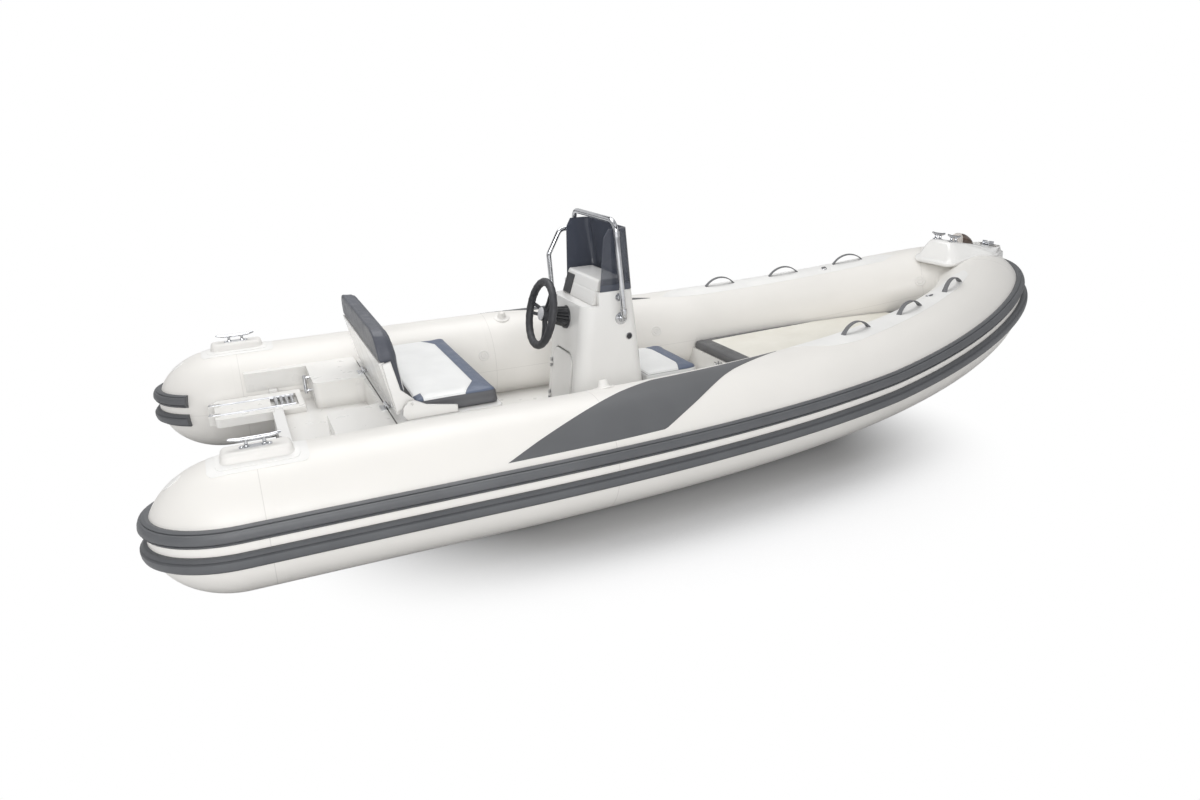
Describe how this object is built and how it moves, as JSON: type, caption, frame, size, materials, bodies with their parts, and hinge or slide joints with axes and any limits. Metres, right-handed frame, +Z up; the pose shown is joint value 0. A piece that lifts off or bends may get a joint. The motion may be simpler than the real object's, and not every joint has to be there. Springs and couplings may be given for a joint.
{
  "type": "rigid inflatable boat",
  "caption": "Open inflatable boat with rigid V hull, side console, helm seat with folding back, bow cushion deck, swim platform and folding ladder.",
  "frame": {"origin": "on the keel plane at the waterline, amidships between the stern tips and the bow", "axes": "+X forward, +Y port, +Z up"},
  "size_m": [4.6543, 2.1234, 1.2985],
  "materials": {
    "tube_fabric": "semi-matt coated fabric",
    "strake_rubber": "matt moulded rubber",
    "gelcoat": "glossy white gelcoat",
    "deck_gelcoat": "non-slip white gelcoat",
    "stainless": "polished stainless",
    "cushion_vinyl": "white vinyl with dark slate border",
    "tinted_screen": "tinted clear sheet",
    "black_plastic": "satin black",
    "silver_plastic": "silver",
    "grey_strap": "woven grey strap",
    "white_rubber": "white moulded rubber",
    "dark_lens": "dark lens and housing"
  },
  "bodies": {
    "boat": {"tube_starboard": "tube_fabric", "tube_port": "tube_fabric", "tube_bow": "tube_fabric", "strake_upper": "strake_rubber", "strake_lower": "strake_rubber", "hull": "gelcoat", "transom": "gelcoat", "cockpit_sole": "deck_gelcoat", "aft_deck": "deck_gelcoat", "swim_platform": "deck_gelcoat", "boarding_handle": "stainless", "stern_cleat_pads": "white_rubber", "stern_cleats": "stainless", "seat_base": "gelcoat", "fixed_hinges": "stainless", "console_body": "gelcoat", "binnacle": "gelcoat", "windscreen": "tinted_screen", "console_rail": "stainless", "helm_hub": "black_plastic", "switch_panel": "black_plastic", "console_seat_base": "gelcoat", "console_seat_cushion": "cushion_vinyl", "bow_locker": "deck_gelcoat", "bow_cushion": "cushion_vinyl", "bow_nose": "gelcoat", "bow_cleats": "stainless", "navigation_light": "dark_lens", "bow_roller": "stainless", "bow_eye": "stainless", "strap_handles": "grey_strap", "rowlocks": "white_rubber", "tube_valves": "white_rubber"},
    "helm": {"steering_wheel": "black_plastic", "wheel_cap": "silver_plastic"},
    "lid": {"seat_lid": "gelcoat", "seat_cushion": "cushion_vinyl", "backrest_brackets": "gelcoat", "lid_hinges_moving": "stainless"},
    "backrest": {"backrest_pad": "cushion_vinyl", "backrest_shell": "gelcoat", "backrest_arms": "gelcoat"},
    "console_door": {"console_door": "gelcoat"},
    "locker_door": {"bow_locker_door": "gelcoat"},
    "ladder": {"boarding_ladder": "stainless"}
  },
  "joints": [
    {"name": "helm_turn", "type": "hinge", "parent": "boat", "child": "helm", "pos_m": [-0.56, 0, 0.66], "axis": [-0.9703, 0, 0.2419], "range_deg": [-540, 540]},
    {"name": "seat_lid_hinge", "type": "hinge", "parent": "boat", "child": "lid", "pos_m": [-1.3725, 0, 0.434], "axis": [0, -1, 0], "range_deg": [0, 70]},
    {"name": "backrest_fold", "type": "hinge", "parent": "lid", "child": "backrest", "pos_m": [-1.302, 0, 0.49], "axis": [0, 1, 0], "range_deg": [0, 88]},
    {"name": "console_door_hinge", "type": "hinge", "parent": "boat", "child": "console_door", "pos_m": [-0.50831, 0.1225, 0.14639], "axis": [-0.124, 0, -0.9923], "range_deg": [0, 110]},
    {"name": "bow_locker_hinge", "type": "hinge", "parent": "boat", "child": "locker_door", "pos_m": [0.493, 0, 0.2005], "axis": [0, 1, 0], "range_deg": [0, 80]},
    {"name": "ladder_hinge", "type": "hinge", "parent": "boat", "child": "ladder", "pos_m": [-2.067, 0.3525, 0.32], "axis": [0, -1, 0], "range_deg": [0, 255]}
  ]
}
